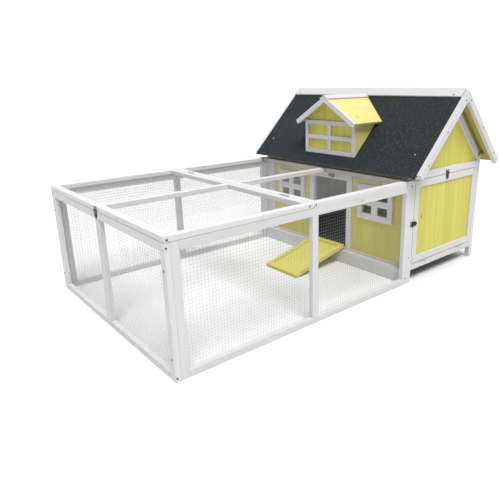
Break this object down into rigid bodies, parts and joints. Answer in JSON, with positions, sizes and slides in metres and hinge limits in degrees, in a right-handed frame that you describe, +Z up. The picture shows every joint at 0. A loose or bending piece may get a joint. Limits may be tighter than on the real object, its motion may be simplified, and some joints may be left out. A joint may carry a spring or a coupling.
{
  "type": "chicken coop",
  "caption": "Timber hen house with saddle roof, dormer, drop-down side door and fold-up ramp, joined to a wire-mesh run with a hinged lid.",
  "frame": {"origin": "on the ground at the middle of the sill board that closes the run below the house", "axes": "+X along the roof ridge towards the side door, -Y out along the run, +Y to the back of the house, +Z up"},
  "size_m": [1.1524, 1.8513, 0.8719],
  "materials": {
    "white_timber": "satin",
    "yellow_boards": "satin",
    "bare_floor": "matte",
    "felt": "matte",
    "galvanised_mesh": "satin",
    "zinc_hinge": "satin",
    "black_iron": "satin",
    "screw_zinc": "satin"
  },
  "bodies": {
    "coop": {"run_front_frame": "white_timber", "run_left_frame": "white_timber", "run_right_frame": "white_timber", "run_top_frame": "white_timber", "run_sill": "white_timber", "front_wall_frame": "white_timber", "doorway_casing": "white_timber", "window_frames": "white_timber", "house_posts": "white_timber", "back_wall_frame": "white_timber", "right_gable_frame": "white_timber", "left_gable_frame": "white_timber", "barge_boards": "white_timber", "ridge_cap": "white_timber", "dormer_barge_boards": "white_timber", "dormer_ridge_cap": "white_timber", "dormer_window_frame": "white_timber", "front_wall_boards": "yellow_boards", "back_wall_boards": "yellow_boards", "right_gable_boards": "yellow_boards", "left_gable_boards": "yellow_boards", "roof_boards": "yellow_boards", "roof_battens": "yellow_boards", "dormer_roof": "yellow_boards", "dormer_front_boards": "yellow_boards", "dormer_cheeks": "yellow_boards", "house_floor": "bare_floor", "roof_felt": "felt", "run_front_mesh": "galvanised_mesh", "run_left_mesh": "galvanised_mesh", "run_right_mesh": "galvanised_mesh", "run_top_mesh": "galvanised_mesh", "window_meshes": "galvanised_mesh", "hinge_leaves": "zinc_hinge", "hinge_pins": "zinc_hinge", "hasp_leaves": "black_iron", "lid_staple_base": "black_iron", "button_pivot": "black_iron", "screws": "screw_zinc"},
    "run_lid": {"run_lid_frame": "white_timber", "run_lid_mesh": "galvanised_mesh", "lid_hinge_leaves": "zinc_hinge", "lid_hasp_leaf": "black_iron", "lid_screws": "screw_zinc"},
    "side_door": {"side_door_frame": "white_timber", "side_door_boards": "yellow_boards", "side_door_hinge_leaves": "zinc_hinge", "side_door_staple_base": "black_iron", "run_side_staple_base": "black_iron"},
    "ramp": {"ramp_boards": "yellow_boards", "ramp_battens": "yellow_boards", "ramp_hinge_leaves": "zinc_hinge"},
    "lid_strap": {"lid_hasp_strap": "black_iron"},
    "side_door_strap": {"side_door_hasp_strap": "black_iron"},
    "run_side_strap": {"run_side_hasp_strap": "black_iron"},
    "lid_turn_staple": {"lid_staple": "black_iron"},
    "side_door_turn_staple": {"side_door_staple": "black_iron"},
    "run_side_turn_staple": {"run_side_staple": "black_iron"},
    "button": {"doorway_button": "black_iron"}
  },
  "joints": [
    {"name": "lid_hinge", "type": "hinge", "parent": "coop", "child": "run_lid", "pos_m": [0, -0.589, 0.4876], "axis": [-1, 0, 0], "range_deg": [0, 105]},
    {"name": "side_door_hinge", "type": "hinge", "parent": "coop", "child": "side_door", "pos_m": [0.5276, 0.2925, 0.0875], "axis": [0, 1, 0], "range_deg": [0, 100]},
    {"name": "ramp_hinge", "type": "hinge", "parent": "coop", "child": "ramp", "pos_m": [0.015, 0.0074, 0.0795], "axis": [-1, 0, 0], "range_deg": [0, 103.6]},
    {"name": "lid_strap_hinge", "type": "hinge", "parent": "run_lid", "child": "lid_strap", "pos_m": [0, -1.1984, 0.468], "axis": [-1, 0, 0], "range_deg": [0, 170]},
    {"name": "side_door_strap_hinge", "type": "hinge", "parent": "coop", "child": "side_door_strap", "pos_m": [0.5274, 0.2808, 0.4855], "axis": [0, -1, 0], "range_deg": [0, 170]},
    {"name": "run_side_strap_hinge", "type": "hinge", "parent": "coop", "child": "run_side_strap", "pos_m": [0.5274, 0.025, 0.283], "axis": [0, 0, -1], "range_deg": [0, 170]},
    {"name": "lid_staple_turn", "type": "hinge", "parent": "coop", "child": "lid_turn_staple", "pos_m": [0, -1.196, 0.451], "axis": [0, -1, 0], "range_deg": [0, 90]},
    {"name": "side_door_staple_turn", "type": "hinge", "parent": "side_door", "child": "side_door_turn_staple", "pos_m": [0.525, 0.2808, 0.4685], "axis": [1, 0, 0], "range_deg": [0, 90]},
    {"name": "run_side_staple_turn", "type": "hinge", "parent": "side_door", "child": "run_side_turn_staple", "pos_m": [0.525, 0.042, 0.283], "axis": [1, 0, 0], "range_deg": [0, 90]},
    {"name": "button_turn", "type": "hinge", "parent": "coop", "child": "button", "pos_m": [0.015, 0.0098, 0.446], "axis": [0, 1, 0], "range_deg": [0, 90]}
  ]
}
